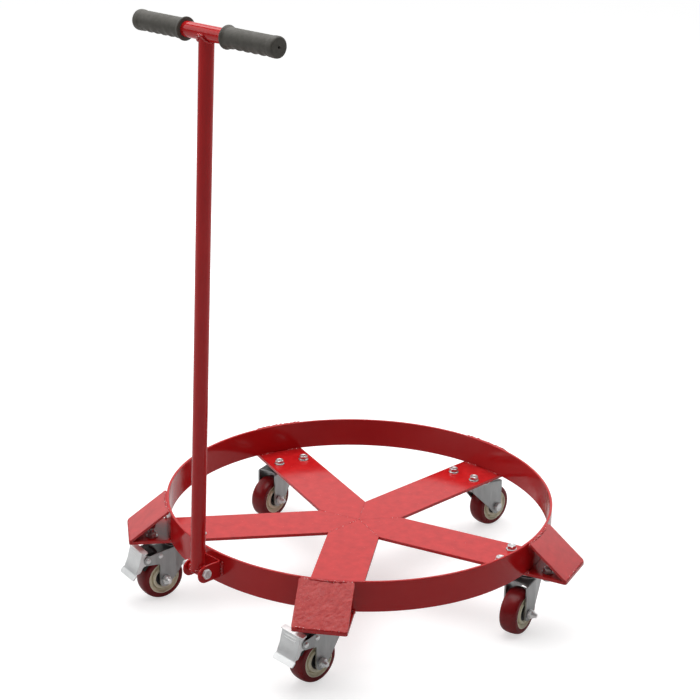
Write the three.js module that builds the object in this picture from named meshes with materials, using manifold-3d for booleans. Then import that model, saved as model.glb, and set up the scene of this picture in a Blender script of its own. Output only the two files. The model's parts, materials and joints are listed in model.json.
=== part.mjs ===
// Drum dolly: a rolled ring on five flat spokes, five swivel casters (two of them braked)
// and a tubular T-handle hinged on the ring. Millimetres, +Z up. The origin is on the ring's
// axis, on the deck: the top face of the spokes, where the drum's bottom rests. The handle is
// hinged on the -Y side.
import * as THREE from 'three';
import { mergeVertices } from 'three/addons/utils/BufferGeometryUtils.js';
import Module from 'manifold-3d';

const wasm = await Module();
wasm.setup();

// ---------------------------------------------------------------- driving dimensions
const gap = 0.3; // clearance between pieces that touch
const arms = 5; // spokes, gussets and casters

// Ring
const ringOuter = 302.5; // outer radius of the rolled band
const ringWall = 4;
const ringHeight = 48;

// Spokes and gussets
const spokeWidth = 80;
const spokeThickness = 5;
const spokeOverhang = 60.5; // how far a spoke runs past the ring
const hubPlug = 3.7; // apothem of the pentagon that fills the middle of the star
const gussetThickness = 4;

// Caster mounting
const boltSpacingAlong = 76; // hole spacing along the spoke
const boltSpacingAcross = 45;
const boltRadius = 4; // M8
const boltClearance = 0.5;
const kingpinInset = 13.5; // kingpin axis inside the ring's outer face
const plateThickness = 3;
const plateMargin = 9.5; // plate edge beyond the bolt centres, along the spoke
const plateSideMargin = 11; // and across it

// Swivel
const upperRaceRadius = 27;
const upperRaceHeight = 5;
const lowerRaceRadius = 22;
const lowerRaceHeight = 5.5;
const kingpinRadius = 5;
const kingpinHeadRadius = 9;
const kingpinHeadHeight = 3;

// Fork
const trail = 30; // axle behind the kingpin
const wheelSideRoom = 2.8; // between the wheel's core and a leg
const forkSheet = 2.5;
const forkFront = 9.5; // leg edge beyond the axle
const forkFootDrop = 3; // centre of the round foot below the axle
const forkBackRoom = 15.8; // leg edge behind the tread's rearmost point
const forkCreaseLead = 18.2; // the legs toe in behind a line this far before that point
const forkToeIn = THREE.MathUtils.degToRad(14);
const forkTopDrop = 3.5; // the top slopes down to its front edge
const forkTopFlat = 14; // from this far in front of the kingpin axis
const forkBackDepth = 8; // height of the legs at the back
const wheelHeadroom = 15.6; // fork top above the tread

// Wheel
const wheelRadius = 36.2;
const treadHalfWidth = 14;
const treadShoulder = 6; // drop of the crowned tread at its edge
const coreRadius = 26.1;
const coreHalfWidth = 14.2;
const bearingRadius = 10.7;
const axleRadius = 4; // M8
const hexAcrossFlats = 13;
const boltHeadHeight = 5.3;
const nutHeight = 7.5;
const boltTail = 5.5; // thread beyond the nut

// Brake, in the fork's side view: x from the tread's front, z from the fork's top
const pedalRivet = { x: -6.7, z: -13.5, radius: 2.5, head: 4.3 };
const shoeRivet = { x: 8, z: -10, radius: 2, head: 4.2 }; // x from the axle
const armEndRadius = 7.5;
const brakePlateFront = 15; // braked fork's top plate beyond the axle
const rivetHeadHeight = 1.8;
const pedalSheet = 2;
const pedalTabOverhang = 6.3; // beyond the cheeks, on each side
const pedalFaceOverhang = 2.8;
const pedalFlangeOverhang = 4.3;
const shoeSideRoom = 0.5; // between the shoe and a cheek
const shoeLift = 2.2; // brake shoe above the tread when released
const shoePinSlack = 1.8; // hole in the shoe round the pedal's rivet

// Handle bracket and pivot
const bracketSheet = 3;
const earInner = 15; // half the space between the ears
const bracketBottom = 13;
const bracketTop = 39;
const pivotReach = 30; // pivot axis outside the ring's outer face
const pivotHeight = 28;
const sleeveRadius = 7.5;
const pivotBoltRadius = 4;
const pivotNutHeight = 6.7;

// Handle
const tubeRadius = 10.65;
const tubeWall = 2.6;
const handleLength = 772; // pivot axis to cross-bar axis
const handleLean = THREE.MathUtils.degToRad(1.8); // towards the ring, as parked
const crossbarHalfLength = 135.2;
const gripLength = 98.7;
const gripWall = 3.45;
const gripFlangeRise = 1.8; // flange beyond the grip's surface
const gripFlangeWidth = 4;
const gripEndWall = 4;
const gripVentRadius = 1.6;

// Sides of the polygons that stand for circles
const sides = { ring: 72, large: 24, medium: 16, small: 12 };

// One entry per arm, in turn: where the spoke points and where its caster trails, in degrees
const casters = [
  { azimuth: 234, heading: 260.2, braked: true },
  { azimuth: 306, heading: 269.4, braked: true },
  { azimuth: 18, heading: 281.7, braked: false },
  { azimuth: 90, heading: 87.1, braked: false },
  { azimuth: 162, heading: 275.7, braked: false },
];

// ---------------------------------------------------------------- sizes that follow
const miter = Math.PI / arms;
const ringInner = ringOuter - ringWall;
const spokeEnd = ringOuter + spokeOverhang;
const kingpinPlace = ringOuter - kingpinInset;
const plateTop = -spokeThickness - gap;
const plateBottom = plateTop - plateThickness;
const upperRaceBottom = plateBottom - upperRaceHeight;
const forkTop = upperRaceBottom - gap - lowerRaceHeight;
const axleDrop = wheelRadius + wheelHeadroom;
const axleZ = forkTop - axleDrop;
const legInner = coreHalfWidth + wheelSideRoom;
const forkHalfWidth = legInner + forkSheet;
const forkBack = wheelRadius - trail + forkBackRoom;
const forkCrease = trail - wheelRadius + forkCreaseLead;
const cheekOuter = legInner - gap;
const shoeHalfWidth = cheekOuter - pedalSheet - shoeSideRoom;
const pedalPivot = { x: trail + wheelRadius + pedalRivet.x, z: forkTop + pedalRivet.z };
const shoePivot = { x: trail + shoeRivet.x, z: forkTop + shoeRivet.z };
const pivotRadius = ringOuter + pivotReach;
const earOuter = earInner + bracketSheet;
const tubeInner = tubeRadius - tubeWall;
const gripRadius = tubeRadius + gap + gripWall;
const gripFlangeRadius = gripRadius + gripFlangeRise;
const hexRadius = hexAcrossFlats / Math.sqrt(3);
const boltHole = boltRadius + boltClearance;

// ---------------------------------------------------------------- shape helpers
// A closed three.js geometry as a solid that can be joined and cut
function solid(geometry) {
  geometry.deleteAttribute('normal');
  geometry.deleteAttribute('uv');
  const merged = mergeVertices(geometry, 1e-4);
  const index = merged.index.array;
  const triangles = [];
  for (let i = 0; i < index.length; i += 3) {
    const [a, b, c] = [index[i], index[i + 1], index[i + 2]];
    if (a !== b && b !== c && c !== a) triangles.push(a, b, c);
  }
  return new wasm.Manifold(new wasm.Mesh({
    numProp: 3,
    vertProperties: new Float32Array(merged.attributes.position.array),
    triVerts: new Uint32Array(triangles),
  }));
}

function toGeometry(shape) {
  const mesh = shape.getMesh();
  const geometry = new THREE.BufferGeometry();
  geometry.setAttribute('position', new THREE.BufferAttribute(mesh.vertProperties, 3));
  geometry.setIndex(new THREE.BufferAttribute(mesh.triVerts, 1));
  return geometry;
}

// Outline in the XY plane, raised from z0 to z1
function prismZ(outline, z0, z1) {
  const shape = new THREE.Shape(outline.map(([x, y]) => new THREE.Vector2(x, y)));
  const geometry = new THREE.ExtrudeGeometry(shape, { depth: z1 - z0, bevelEnabled: false });
  geometry.translate(0, 0, z0);
  return solid(geometry);
}

// Outline in the XZ plane, drawn out from y0 to y1
function prismY(outline, y0, y1) {
  const shape = new THREE.Shape(outline.map(([x, z]) => new THREE.Vector2(x, z)));
  const geometry = new THREE.ExtrudeGeometry(shape, { depth: y1 - y0, bevelEnabled: false });
  geometry.rotateX(Math.PI / 2);
  geometry.translate(0, y1, 0);
  return solid(geometry);
}

// Outline in the YZ plane, drawn out from x0 to x1
function prismX(outline, x0, x1) {
  const shape = new THREE.Shape(outline.map(([y, z]) => new THREE.Vector2(y, z)));
  const geometry = new THREE.ExtrudeGeometry(shape, { depth: x1 - x0, bevelEnabled: false });
  geometry.rotateX(Math.PI / 2);
  geometry.rotateZ(Math.PI / 2);
  geometry.translate(x0, 0, 0);
  return solid(geometry);
}

// Closed profile of [radius, height] points, turned about Z
function turnZ(profile, segments) {
  const points = profile.map(([r, z]) => new THREE.Vector2(r, z));
  if (profile[0][0] > 0) points.push(points[0].clone());
  const geometry = new THREE.LatheGeometry(points, segments);
  geometry.rotateX(Math.PI / 2);
  const turned = solid(geometry);
  return turned.volume() > 0 ? turned : flip(turned);
}

function flip(shape) {
  const mesh = shape.getMesh();
  const triVerts = mesh.triVerts.slice();
  for (let i = 0; i < triVerts.length; i += 3) {
    [triVerts[i], triVerts[i + 1]] = [triVerts[i + 1], triVerts[i]];
  }
  return new wasm.Manifold(new wasm.Mesh({ numProp: 3, vertProperties: mesh.vertProperties, triVerts }));
}

// Round or hexagonal bar along Z from z0 to z1
function barZ(radius, z0, z1, segments = sides.small) {
  const geometry = new THREE.CylinderGeometry(radius, radius, z1 - z0, segments);
  geometry.rotateX(Math.PI / 2);
  geometry.translate(0, 0, (z0 + z1) / 2);
  return solid(geometry);
}

// The same along Y and along X
const alongY = (shape) => shape.rotate([-90, 0, 0]);
const alongX = (shape) => shape.rotate([0, 90, 0]);
const box = (x0, x1, y0, y1, z0, z1) => prismZ([[x0, y0], [x1, y0], [x1, y1], [x0, y1]], z0, z1);

// Points of an arc in degrees, ends included
function arc(cx, cy, radius, from, to, steps) {
  const points = [];
  for (let i = 0; i <= steps; i += 1) {
    const angle = THREE.MathUtils.degToRad(from + ((to - from) * i) / steps);
    points.push([cx + radius * Math.cos(angle), cy + radius * Math.sin(angle)]);
  }
  return points;
}

// ---------------------------------------------------------------- materials
const finishes = {
  redPaint: { color: 0xb0191c, roughness: 0.35, metalness: 0.1 },
  zinc: { color: 0x9ba1a3, roughness: 0.4, metalness: 0.85 },
  brightZinc: { color: 0xd5d9d8, roughness: 0.28, metalness: 0.9 },
  tread: { color: 0x5a1016, roughness: 0.5, metalness: 0 },
  cream: { color: 0xc9c0a2, roughness: 0.5, metalness: 0 },
  blackPlastic: { color: 0x1b1b1a, roughness: 0.6, metalness: 0 },
  gripRubber: { color: 0x3a3936, roughness: 0.75, metalness: 0 },
};

function part(parent, name, shape, finish) {
  const mesh = new THREE.Mesh(toGeometry(shape), new THREE.MeshStandardMaterial(finishes[finish]));
  mesh.name = name;
  parent.add(mesh);
  return mesh;
}

// ---------------------------------------------------------------- frame
function drumRing() {
  const bottom = gap;
  const top = gap + ringHeight;
  return turnZ([[ringInner, bottom], [ringOuter, bottom], [ringOuter, top], [ringInner, top]], sides.ring);
}

// The four bolt holes that a spoke and its caster plate share, as bars to cut with
function mountingHoles(z0, z1) {
  const bars = [];
  for (const sx of [-1, 1]) {
    for (const sy of [-1, 1]) {
      const x = kingpinPlace + (sx * boltSpacingAlong) / 2;
      const y = (sy * boltSpacingAcross) / 2;
      bars.push(barZ(boltHole, z0, z1).translate([x, y, 0]));
    }
  }
  return wasm.Manifold.union(bars);
}

// Flat bar from the mitred middle of the star to its outer end, along +X. One spoke holds the
// small pentagon in the middle, and the tips of the others stop short of it.
function spoke(holdsPlug) {
  const half = spokeWidth / 2;
  const tip = gap / 2 / Math.sin(miter);
  const shoulder = tip + half / Math.tan(miter);
  const blunt = hubPlug + gap;
  const bluntHalf = (blunt - tip) * Math.tan(miter);
  const outline = [[shoulder, -half], [spokeEnd, -half], [spokeEnd, half], [shoulder, half]];
  if (holdsPlug) outline.push([tip, 0]);
  else outline.push([blunt, bluntHalf], [blunt, -bluntHalf]);
  let bar = prismZ(outline, -spokeThickness, 0);
  if (holdsPlug) {
    const plug = barZ(hubPlug / Math.cos(miter), -spokeThickness, 0, arms);
    bar = bar.add(plug.rotate([0, 0, 90 + 180 / arms]));
  }
  return bar.subtract(mountingHoles(-spokeThickness - 1, 1));
}

// Sloping plate from the ring's top edge to the spoke's outer end
function gusset() {
  const top = gap + ringHeight;
  const rise = top - gap;
  const run = spokeEnd - ringOuter;
  const length = Math.hypot(rise, run);
  const foot = (gussetThickness * length) / rise;
  const under = (gussetThickness * length) / run;
  const inside = ringOuter - ringWall;
  const beyond = (rise * (ringOuter - inside)) / run;
  const outline = [
    [inside, top + beyond],
    [inside, top + beyond - under],
    [spokeEnd - foot, gap],
    [spokeEnd, gap],
  ];
  const plate = prismY(outline, -spokeWidth / 2, spokeWidth / 2);
  const ringRoom = barZ(ringOuter + gap, -1, top + 20, 2 * sides.ring);
  return plate.subtract(ringRoom).intersect(box(0, spokeEnd, -spokeWidth, spokeWidth, 0, top));
}

// Top plate, pressed upper race and riveted kingpin of a caster, centred on the kingpin
function swivelPlate() {
  const halfX = boltSpacingAlong / 2 + plateMargin;
  const halfY = boltSpacingAcross / 2 + plateSideMargin;
  const cut = plateMargin / 2;
  const outline = [
    [halfX, -halfY + cut], [halfX, halfY - cut], [halfX - cut, halfY], [-halfX + cut, halfY],
    [-halfX, halfY - cut], [-halfX, -halfY + cut], [-halfX + cut, -halfY], [halfX - cut, -halfY],
  ];
  const plate = prismZ(outline, plateBottom, plateTop);
  const headTop = forkTop - forkSheet - gap;
  const race = turnZ([
    [0, headTop - kingpinHeadHeight],
    [kingpinHeadRadius - 2, headTop - kingpinHeadHeight],
    [kingpinHeadRadius, headTop],
    [kingpinRadius, headTop],
    [kingpinRadius, upperRaceBottom],
    [upperRaceRadius, upperRaceBottom],
    [upperRaceRadius - 1.5, plateBottom + 1],
    [0, plateBottom + 1],
  ], sides.large);
  const holes = mountingHoles(plateBottom - 1, plateTop + 1).translate([-kingpinPlace, 0, 0]);
  return plate.add(race).subtract(holes);
}

// ---------------------------------------------------------------- caster fork
// Plan outline of the fork, `inset` in from its outer face, reaching x = front
function forkPlan(front, inset) {
  const side = forkHalfWidth - inset;
  const back = -forkBack + inset;
  const crease = forkCrease - inset * Math.tan(forkToeIn / 2);
  const toe = side - (crease - back) * Math.tan(forkToeIn);
  const corner = 5;
  return [
    [front, -side], [front, side], [crease, side],
    [back + corner, toe + corner * Math.tan(forkToeIn)], [back, toe - corner],
    [back, -toe + corner], [back + corner, -toe - corner * Math.tan(forkToeIn)], [crease, -side],
  ];
}

// Side outline of a leg: sloping top, straight front edge, round foot below the axle, straight back
function legOutline(braked) {
  const front = trail + forkFront;
  const foot = arc(trail, axleZ - forkFootDrop, forkFront, 0, -135, 6);
  const back = [[-forkBack - 1, forkTop - forkBackDepth], [-forkBack - 1, forkTop]];
  if (!braked) return [[forkTopFlat, forkTop], [front, forkTop - forkTopDrop], ...foot, ...back];
  const { x, z } = pedalPivot;
  const throat = z - armEndRadius - 2;
  return [
    [forkTopFlat, forkTop],
    [trail + brakePlateFront, forkTop - forkTopDrop],
    ...arc(x, z, armEndRadius, 75, -90, 7),
    [front + 4, throat],
    [front, throat - 4],
    ...foot,
    ...back,
  ];
}

// Top plate of the fork in side view, drawn `depth` below its outer face
function topOutline(front, depth) {
  return [
    [-forkBack - 1, forkTop], [forkTopFlat, forkTop], [front, forkTop - forkTopDrop],
    [front, forkTop - forkTopDrop - depth], [forkTopFlat, forkTop - depth], [-forkBack - 1, forkTop - depth],
  ];
}

function rivet(radius, headRadius) {
  const reach = forkHalfWidth + gap;
  const end = reach + rivetHeadHeight;
  return alongY(turnZ([
    [0, -end], [headRadius * 0.6, -end], [headRadius, -reach - 0.4], [headRadius, -reach],
    [radius, -reach], [radius, reach],
    [headRadius, reach], [headRadius, reach + 0.4], [headRadius * 0.6, end], [0, end],
  ], sides.small));
}

function fork(braked) {
  const plateFront = trail + (braked ? brakePlateFront : forkFront);
  const legFront = braked ? pedalPivot.x + armEndRadius + 1 : trail + forkFront;
  const low = axleZ - 20;
  const walls = prismZ(forkPlan(legFront, 0), low, forkTop)
    .subtract(prismZ(forkPlan(legFront + 5, forkSheet), low - 1, forkTop + 1))
    .intersect(prismY(legOutline(braked), -50, 50));
  const top = prismZ(forkPlan(plateFront, 0), low, forkTop)
    .intersect(prismY(topOutline(plateFront, forkSheet), -50, 50));
  const lowerRace = barZ(lowerRaceRadius, forkTop - 1, forkTop + lowerRaceHeight, sides.large)
    .intersect(box(-forkBack, 50, -forkHalfWidth - 5, forkHalfWidth + 5, forkTop - 1, 0));
  const axleHole = alongY(barZ(axleRadius + gap, -50, 50)).translate([trail, 0, axleZ]);
  const kingpinHole = barZ(kingpinRadius + gap, low, 0);
  let shape = walls.add(top).add(lowerRace).subtract(axleHole).subtract(kingpinHole);
  if (braked) {
    const pedalHole = alongY(barZ(pedalRivet.radius + gap, -50, 50));
    const shoePin = alongY(barZ(shoeRivet.radius, -forkHalfWidth, forkHalfWidth));
    const heads = rivet(shoeRivet.radius, shoeRivet.head);
    const seat = alongY(barZ(shoeRivet.head, -forkHalfWidth - 0.5, forkHalfWidth + 0.5))
      .subtract(alongY(barZ(shoeRivet.head + 1, -legInner, legInner)));
    shape = shape
      .subtract(pedalHole.translate([pedalPivot.x, 0, pedalPivot.z]))
      .add(shoePin.add(heads).add(seat).translate([shoePivot.x, 0, shoePivot.z]));
  }
  return shape;
}

// ---------------------------------------------------------------- wheel and axle
function axleBolt() {
  const reach = forkHalfWidth + gap;
  const head = barZ(hexRadius, -reach - boltHeadHeight, -reach, 6);
  const shank = barZ(axleRadius, -reach - 1, reach + nutHeight + boltTail);
  return alongY(head.add(shank)).translate([trail, 0, axleZ]);
}

function axleNut() {
  const reach = forkHalfWidth + gap;
  const nut = barZ(hexRadius, reach, reach + nutHeight, 6);
  const thread = barZ(axleRadius + gap, reach - 1, reach + nutHeight + 1);
  return alongY(nut.subtract(thread)).translate([trail, 0, axleZ]);
}

// Crowned tread: its outline is a superellipse across the wheel
function wheelTread() {
  const inner = coreRadius + gap;
  const edge = wheelRadius - treadShoulder;
  const steps = 6;
  const crown = [];
  for (let i = 0; i <= steps; i += 1) {
    const y = treadHalfWidth * Math.sin((Math.PI / 2) * ((2 * i) / steps - 1));
    const share = Math.min(1, Math.abs(y) / treadHalfWidth);
    crown.push([edge + treadShoulder * (1 - share ** 2.5) ** 0.4, y]);
  }
  const profile = [[inner, -treadHalfWidth], ...crown, [inner, treadHalfWidth]];
  return alongY(turnZ(profile, sides.large)).translate([trail, 0, axleZ]);
}

// Hub moulding: bearing seat, a groove on each face and the rim that carries the tread
function wheelCore() {
  const bore = bearingRadius + gap;
  const grooveIn = bore + 6;
  const grooveOut = coreRadius - 2.5;
  const grooveMid = (grooveIn + grooveOut) / 2;
  const deep = coreHalfWidth - 3;
  const half = [[bore, coreHalfWidth], [grooveIn, coreHalfWidth], [grooveMid, deep],
    [grooveOut, coreHalfWidth], [coreRadius, coreHalfWidth]];
  const mirrored = half.map(([r, y]) => [r, -y]).reverse();
  return alongY(turnZ([...half, ...mirrored], sides.large)).translate([trail, 0, axleZ]);
}

// Bearings of both sides with the spacer between them, as long as the fork is wide inside
function wheelBearing() {
  const bore = axleRadius + 2 * gap;
  const end = legInner - gap;
  const spacer = bearingRadius - 4;
  const profile = [[bore, -end], [spacer, -end], [spacer, -coreHalfWidth], [bearingRadius, -coreHalfWidth],
    [bearingRadius, coreHalfWidth], [spacer, coreHalfWidth], [spacer, end], [bore, end]];
  return alongY(turnZ(profile, sides.small)).translate([trail, 0, axleZ]);
}

// ---------------------------------------------------------------- brake
// Pressed pedal: top tab, face and lower flange, with two cheeks that reach back to the rivet
function brakePedal() {
  const x = trail + wheelRadius;
  const tabIn = [x - 4.2, forkTop + 4.2];
  const brow = [x + 4.8, forkTop + 1.6];
  const belly = [x + 9.8, forkTop - 17.5];
  const bend = [x + 15.8, forkTop - 31.5];
  const lip = [x + 22.3, forkTop - 39];
  const strip = (a, b, half) => {
    const [dx, dz] = [b[0] - a[0], b[1] - a[1]];
    const length = Math.hypot(dx, dz);
    const [nx, nz] = [(dz / length) * pedalSheet, (-dx / length) * pedalSheet];
    const [ex, ez] = [(dx / length) * 0.8, (dz / length) * 0.8];
    return prismY([
      [a[0] - ex, a[1] - ez], [b[0] + ex, b[1] + ez],
      [b[0] + ex + nx, b[1] + ez + nz], [a[0] - ex + nx, a[1] - ez + nz],
    ], -half, half);
  };
  const pivot = pedalPivot;
  const outline = [
    [brow[0] - 1, brow[1] - 2],
    [pivot.x, pivot.z + 7],
    ...arc(pivot.x, pivot.z, 7, 110, 250, 6),
    [pivot.x + 3, pivot.z - 9],
    [x + 1, forkTop - 22.5],
    [x + 4, forkTop - 26],
    [bend[0] - 1, bend[1]],
    [belly[0] - 0.5, belly[1]],
  ];
  const cheeks = prismY(outline, -cheekOuter, cheekOuter)
    .subtract(box(0, 200, -cheekOuter + pedalSheet, cheekOuter - pedalSheet, -200, 50));
  const hole = alongY(barZ(pedalRivet.radius + gap, -50, 50)).translate([pivot.x, 0, pivot.z]);
  return strip(tabIn, brow, cheekOuter + pedalTabOverhang)
    .add(strip(brow, belly, cheekOuter + pedalFaceOverhang))
    .add(strip(belly, bend, cheekOuter + pedalFaceOverhang))
    .add(strip(bend, lip, cheekOuter + pedalFlangeOverhang))
    .add(cheeks)
    .subtract(hole);
}

// Block over the tread, hung on the rear rivet, with a slack hole round the pedal's rivet
function brakeShoe() {
  const under = wheelRadius + shoeLift;
  const hub = Math.hypot(shoePivot.x - trail, shoePivot.z - axleZ) - under;
  const plateEdge = trail + brakePlateFront + 1;
  const neck = forkTop - forkTopDrop - forkSheet - 1.5;
  const outline = [
    ...arc(trail, axleZ, under, 30, 72, 8),
    [shoePivot.x, shoePivot.z],
    [shoePivot.x + 1, neck],
    [plateEdge, neck],
    [plateEdge, forkTop - 3],
    [pedalPivot.x + 2, forkTop - 2.5],
    [pedalPivot.x + 11, forkTop - 26],
  ];
  const eye = alongY(barZ(hub, -shoeHalfWidth, shoeHalfWidth)).translate([shoePivot.x, 0, shoePivot.z]);
  const rearHole = alongY(barZ(shoeRivet.radius + gap + 0.1, -50, 50))
    .translate([shoePivot.x, 0, shoePivot.z]);
  const frontHole = alongY(barZ(pedalRivet.radius + shoePinSlack, -50, 50))
    .translate([pedalPivot.x, 0, pedalPivot.z]);
  return prismY(outline, -shoeHalfWidth, shoeHalfWidth).add(eye).subtract(rearHole).subtract(frontHole);
}

// ---------------------------------------------------------------- handle
// Folded channel: web against the ring, two ears with round ends that carry the pivot
function handleBracket() {
  const webIn = -ringOuter - gap;
  const webOut = webIn - bracketSheet;
  const mid = (bracketBottom + bracketTop) / 2;
  const round = (bracketTop - bracketBottom) / 2;
  const ear = [[webIn, bracketBottom], [webIn, bracketTop], ...arc(-pivotRadius, mid, round, 90, 270, 12)];
  const block = prismX(ear, -earOuter, earOuter);
  const room = box(-earInner, earInner, -pivotRadius - 50, webOut, 0, bracketTop + 10);
  const hole = alongX(barZ(pivotBoltRadius + gap, -50, 50)).translate([0, -pivotRadius, pivotHeight]);
  return block.subtract(room).subtract(hole);
}

function pivotBolt() {
  const reach = earOuter + gap;
  const head = barZ(hexRadius, reach, reach + boltHeadHeight, 6);
  const shank = barZ(pivotBoltRadius, -reach - pivotNutHeight - boltTail, reach + 1);
  return alongX(head.add(shank)).translate([0, -pivotRadius, pivotHeight]);
}

function pivotNut() {
  const reach = earOuter + gap;
  const nut = barZ(hexRadius, -reach - pivotNutHeight, -reach, 6);
  const thread = barZ(pivotBoltRadius + gap, -reach - 20, 0);
  return alongX(nut.subtract(thread)).translate([0, -pivotRadius, pivotHeight]);
}

// The handle pieces stand along +Z from the pivot axis, which is along X
function pivotSleeve() {
  const half = earInner - gap;
  const bore = barZ(pivotBoltRadius + 2 * gap, -half - 1, half + 1);
  return alongX(barZ(sleeveRadius, -half, half, sides.medium).subtract(bore));
}

function handlePole() {
  const bore = barZ(tubeInner, -1, handleLength + 1, sides.medium);
  const tube = barZ(tubeRadius, 0, handleLength, sides.medium).subtract(bore);
  const cope = alongX(barZ(sleeveRadius + gap, -50, 50, sides.medium));
  const crossbarRoom = alongX(barZ(tubeRadius + gap, -50, 50, sides.medium)).translate([0, 0, handleLength]);
  return tube.subtract(cope).subtract(crossbarRoom);
}

function tBar() {
  const outer = barZ(tubeRadius, -crossbarHalfLength, crossbarHalfLength, sides.medium);
  const inner = barZ(tubeInner, -crossbarHalfLength - 1, crossbarHalfLength + 1, sides.medium);
  return alongX(outer.subtract(inner)).translate([0, 0, handleLength]);
}

// Rubber grip along +X: flange at the inner end, closed outer end with a vent hole
function grip(side) {
  const bore = tubeRadius + gap;
  const tubeEnd = crossbarHalfLength + gap;
  const end = tubeEnd + gripEndWall;
  const start = end - gripLength;
  const shape = alongX(turnZ([
    [bore, start], [gripFlangeRadius, start], [gripFlangeRadius, start + gripFlangeWidth],
    [gripRadius, start + gripFlangeWidth + 1.5], [gripRadius, end - 3], [gripRadius - 3, end],
    [gripVentRadius, end], [gripVentRadius, tubeEnd], [bore, tubeEnd],
  ], sides.medium));
  return shape.rotate([0, 0, side > 0 ? 0 : 180]).translate([0, 0, handleLength]);
}

// ---------------------------------------------------------------- assembly
const dolly = new THREE.Group();
const rad = THREE.MathUtils.degToRad;

part(dolly, 'drum_ring', drumRing(), 'redPaint');
part(dolly, 'handle_bracket', handleBracket(), 'redPaint');
part(dolly, 'pivot_bolt', pivotBolt(), 'brightZinc');
part(dolly, 'pivot_nut', pivotNut(), 'brightZinc');

const handle = new THREE.Group();
handle.position.set(0, -pivotRadius, pivotHeight);
handle.rotation.x = -handleLean;
dolly.add(handle);
part(handle, 'pivot_sleeve', pivotSleeve(), 'redPaint');
part(handle, 'handle_pole', handlePole(), 'redPaint');
part(handle, 't_bar', tBar(), 'redPaint');
part(handle, 'grip_left', grip(-1), 'gripRubber');
part(handle, 'grip_right', grip(1), 'gripRubber');

casters.forEach(({ azimuth, heading, braked }, i) => {
  const number = i + 1;
  const arm = new THREE.Group();
  arm.rotation.z = rad(azimuth);
  dolly.add(arm);
  part(arm, `spoke_${number}`, spoke(number === 1), 'redPaint');
  part(arm, `gusset_${number}`, gusset(), 'redPaint');

  const kingpin = new THREE.Group();
  kingpin.position.x = kingpinPlace;
  arm.add(kingpin);
  part(kingpin, `swivel_plate_${number}`, swivelPlate(), 'zinc');

  const swivel = new THREE.Group();
  swivel.rotation.z = rad(heading - azimuth);
  kingpin.add(swivel);
  part(swivel, `fork_${number}`, fork(braked), 'zinc');
  part(swivel, `axle_bolt_${number}`, axleBolt(), 'brightZinc');
  part(swivel, `axle_nut_${number}`, axleNut(), 'brightZinc');
  part(swivel, `wheel_tread_${number}`, wheelTread(), 'tread');
  part(swivel, `wheel_core_${number}`, wheelCore(), 'cream');
  part(swivel, `wheel_bearing_${number}`, wheelBearing(), 'zinc');
  if (braked) {
    const pin = rivet(pedalRivet.radius, pedalRivet.head);
    part(swivel, `brake_pedal_${number}`, brakePedal(), 'brightZinc');
    part(swivel, `brake_shoe_${number}`, brakeShoe(), 'blackPlastic');
    part(swivel, `pedal_rivet_${number}`, pin.translate([pedalPivot.x, 0, pedalPivot.z]), 'brightZinc');
  }
});

export default dolly;
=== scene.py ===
# %% [markdown]
# # A drum dolly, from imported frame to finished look
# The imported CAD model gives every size, place and joint. This lesson puts detailed pieces on
# it: rolled and folded sheet metal, weld beads, fasteners, moulded wheels and rubber grips.
# Lengths in the cells are millimetres in a local frame, and a matrix takes each piece to its
# place in the shared frame, which is in metres.

# %% Load the frame
import json
import math
import bmesh
import bpy
from mathutils import Matrix, Vector, noise


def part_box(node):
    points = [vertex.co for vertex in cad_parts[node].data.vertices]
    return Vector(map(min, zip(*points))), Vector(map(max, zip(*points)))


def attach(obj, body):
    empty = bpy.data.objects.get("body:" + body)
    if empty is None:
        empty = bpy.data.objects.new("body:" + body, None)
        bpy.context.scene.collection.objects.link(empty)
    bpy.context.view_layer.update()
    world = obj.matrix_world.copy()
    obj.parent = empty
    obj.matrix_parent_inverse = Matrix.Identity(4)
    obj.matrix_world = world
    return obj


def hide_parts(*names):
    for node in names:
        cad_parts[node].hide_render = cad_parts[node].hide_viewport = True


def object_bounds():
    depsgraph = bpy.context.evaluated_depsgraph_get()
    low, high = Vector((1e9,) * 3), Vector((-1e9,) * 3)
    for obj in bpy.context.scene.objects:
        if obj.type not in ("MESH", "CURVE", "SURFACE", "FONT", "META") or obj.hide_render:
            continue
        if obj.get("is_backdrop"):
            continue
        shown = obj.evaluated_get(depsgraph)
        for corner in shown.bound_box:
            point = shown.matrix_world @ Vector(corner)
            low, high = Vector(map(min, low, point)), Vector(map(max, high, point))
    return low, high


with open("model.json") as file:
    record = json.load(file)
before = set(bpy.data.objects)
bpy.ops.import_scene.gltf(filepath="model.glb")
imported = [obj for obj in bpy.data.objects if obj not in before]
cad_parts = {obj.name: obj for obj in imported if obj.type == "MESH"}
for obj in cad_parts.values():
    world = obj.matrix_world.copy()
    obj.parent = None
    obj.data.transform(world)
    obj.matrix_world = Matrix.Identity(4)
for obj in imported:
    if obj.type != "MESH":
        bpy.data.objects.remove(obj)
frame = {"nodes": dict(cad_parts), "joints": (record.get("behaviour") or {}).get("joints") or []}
cad_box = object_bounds()
joints = {j["name"]: j for j in frame["joints"]}

# %% [markdown]
# ## Camera, light and floor
# The camera stands 20 degrees above the horizon, to the right of the handle. Glossy paint
# shows what it reflects, so the light comes from large soft faces rather than from lamps: a
# wide softbox overhead, two pale walls behind the object and a high softbox on its left.

# %% Camera
SPOT = Vector((1.6969, -1.7509, 1.1688))
BACK = Vector((0.65985, -0.66972, 0.34070)).normalized()
ROLL = math.radians(1.3125)

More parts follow.
